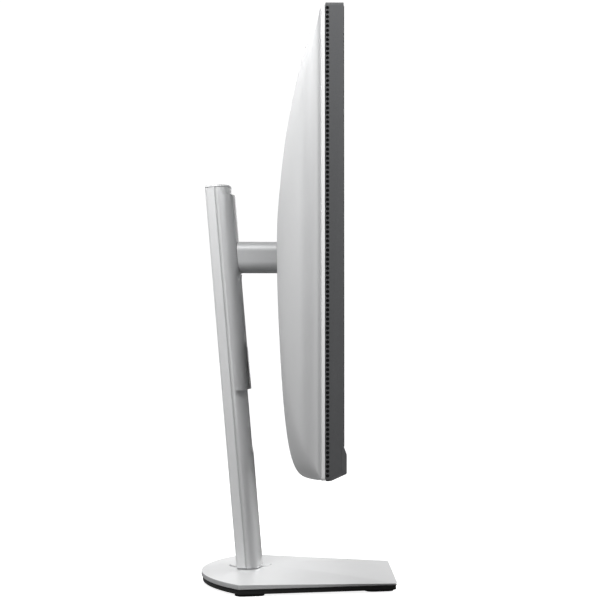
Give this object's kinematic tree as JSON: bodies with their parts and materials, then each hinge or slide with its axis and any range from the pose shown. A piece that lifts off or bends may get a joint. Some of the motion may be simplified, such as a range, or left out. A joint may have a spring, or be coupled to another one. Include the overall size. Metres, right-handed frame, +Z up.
{
  "type": "computer monitor",
  "caption": "Flat desktop monitor with a pillow-shaped rear cover, carried by an arm on a leaning height-adjustable column that swivels on a flat base.",
  "frame": {"origin": "on the desk, under the middle of the base and screen", "axes": "+X to the viewer's right along the screen, -Y towards the viewer (the screen faces -Y), +Z up"},
  "size_m": [0.6118, 0.177, 0.4737],
  "materials": {
    "silver_plastic": "fine satin metallic paint on plastic",
    "silver_metal": "satin silver paint on steel",
    "dark_plastic": "dark grey, fine texture",
    "black_plastic": "black, moulded",
    "rubber": "matt",
    "steel": "pressed sheet and turned steel",
    "cast_alloy": "die-cast",
    "screen": "anti-glare, off",
    "milky_plastic": "optical sheet",
    "circuit_board": "solder mask",
    "led": "clear light pipe"
  },
  "bodies": {
    "base": {"base_plate": "silver_metal", "base_pan": "black_plastic", "foot_front_left": "rubber", "foot_front_right": "rubber", "foot_rear_left": "rubber", "foot_rear_right": "rubber", "swivel_bearing_ring": "steel"},
    "column": {"column_rear_shell": "silver_plastic", "column_front_shell": "silver_plastic", "column_top_cap": "silver_plastic", "column_foot": "cast_alloy", "slide_rail_left": "steel", "slide_rail_right": "steel", "swivel_turntable": "steel"},
    "thumbscrew": {"base_thumbscrew": "cast_alloy"},
    "handle": {"thumbscrew_handle": "steel"},
    "carriage": {"carriage_cover": "silver_plastic", "carriage_block": "cast_alloy", "arm_cover": "silver_plastic", "arm_bracket": "steel", "tilt_pin": "steel"},
    "lift_spring": {"lift_spring_coil": "steel"},
    "knuckle": {"tilt_knuckle": "steel", "pivot_disc": "steel", "pivot_washer": "black_plastic", "pivot_shaft": "steel"},
    "head": {"rear_cover": "silver_plastic", "side_frame": "dark_plastic", "chin_bezel": "dark_plastic", "lcd_panel": "screen", "diffuser_sheet": "milky_plastic", "light_guide": "milky_plastic", "led_bar": "led", "backlight_tray": "steel", "timing_board": "circuit_board", "board_shield": "steel", "power_board": "circuit_board", "main_board": "circuit_board", "hdmi_port_1": "steel", "hdmi_port_2": "steel", "display_port": "steel", "audio_jack": "black_plastic", "power_inlet": "black_plastic", "port_bay": "black_plastic", "speaker_left": "black_plastic", "speaker_right": "black_plastic", "mount_plate": "steel", "mount_screw_1": "cast_alloy", "mount_screw_2": "cast_alloy", "mount_screw_3": "cast_alloy", "mount_screw_4": "cast_alloy", "head_plate": "cast_alloy", "control_board": "circuit_board", "power_led": "led"},
    "release": {"release_button": "dark_plastic"},
    "power": {"power_button": "dark_plastic"},
    "joystick_rocker": {"joystick_gimbal": "black_plastic"},
    "joystick_lever": {"joystick_stem": "steel"},
    "joystick_top": {"joystick_cap": "black_plastic"}
  },
  "joints": [
    {"name": "swivel", "type": "hinge", "parent": "base", "child": "column", "pos_m": [0, 0.0435, 0.0145], "axis": [0, 0, 1], "range_deg": [-30, 30]},
    {"name": "thumbscrew_turn", "type": "hinge", "parent": "column", "child": "thumbscrew", "pos_m": [0, 0.0435, 0.005], "axis": [0, 0, 1], "continuous": true},
    {"name": "handle_fold", "type": "hinge", "parent": "thumbscrew", "child": "handle", "pos_m": [0, 0.0435, 0.0032], "axis": [1, 0, 0], "range_deg": [-90, 0]},
    {"name": "height", "type": "slide", "parent": "column", "child": "carriage", "axis": [0, 0.0844, 0.9964], "range_m": [-0.0885, 0.0215]},
    {"name": "spring_roll", "type": "hinge", "parent": "carriage", "child": "lift_spring", "pos_m": [0, 0.06959, 0.32258], "axis": [1, 0, 0], "range_deg": [-680, 170]},
    {"name": "tilt", "type": "hinge", "parent": "carriage", "child": "knuckle", "pos_m": [0, 0.012, 0.2987], "axis": [1, 0, 0], "range_deg": [-21, 5]},
    {"name": "pivot", "type": "hinge", "parent": "knuckle", "child": "head", "pos_m": [0, 0, 0.2987], "axis": [0, 1, 0], "range_deg": [-10, 10]},
    {"name": "release_press", "type": "slide", "parent": "head", "child": "release", "axis": [0, 0, 1], "range_m": [0, 0.002], "stiffness_N_per_m": 800, "springref_m": -0.001},
    {"name": "power_press", "type": "slide", "parent": "head", "child": "power", "axis": [0, 0, 1], "range_m": [0, 0.0008], "stiffness_N_per_m": 800, "springref_m": -0.0005},
    {"name": "joystick_up_down", "type": "hinge", "parent": "head", "child": "joystick_rocker", "pos_m": [0.262, -0.0136, 0.14955], "axis": [1, 0, 0], "range_deg": [-3.5, 3.5], "stiffness_Nm_per_rad": 0.3},
    {"name": "joystick_left_right", "type": "hinge", "parent": "joystick_rocker", "child": "joystick_lever", "pos_m": [0.262, -0.0136, 0.14955], "axis": [0, 0, 1], "range_deg": [-3.5, 3.5], "stiffness_Nm_per_rad": 0.3},
    {"name": "joystick_press", "type": "slide", "parent": "joystick_lever", "child": "joystick_top", "axis": [0, -1, 0], "range_m": [0, 0.0008], "stiffness_N_per_m": 800, "springref_m": -0.0005}
  ],
  "couplings": [
    {"joint": "spring_roll", "follows": "height", "rad_per_m": 133.33}
  ]
}
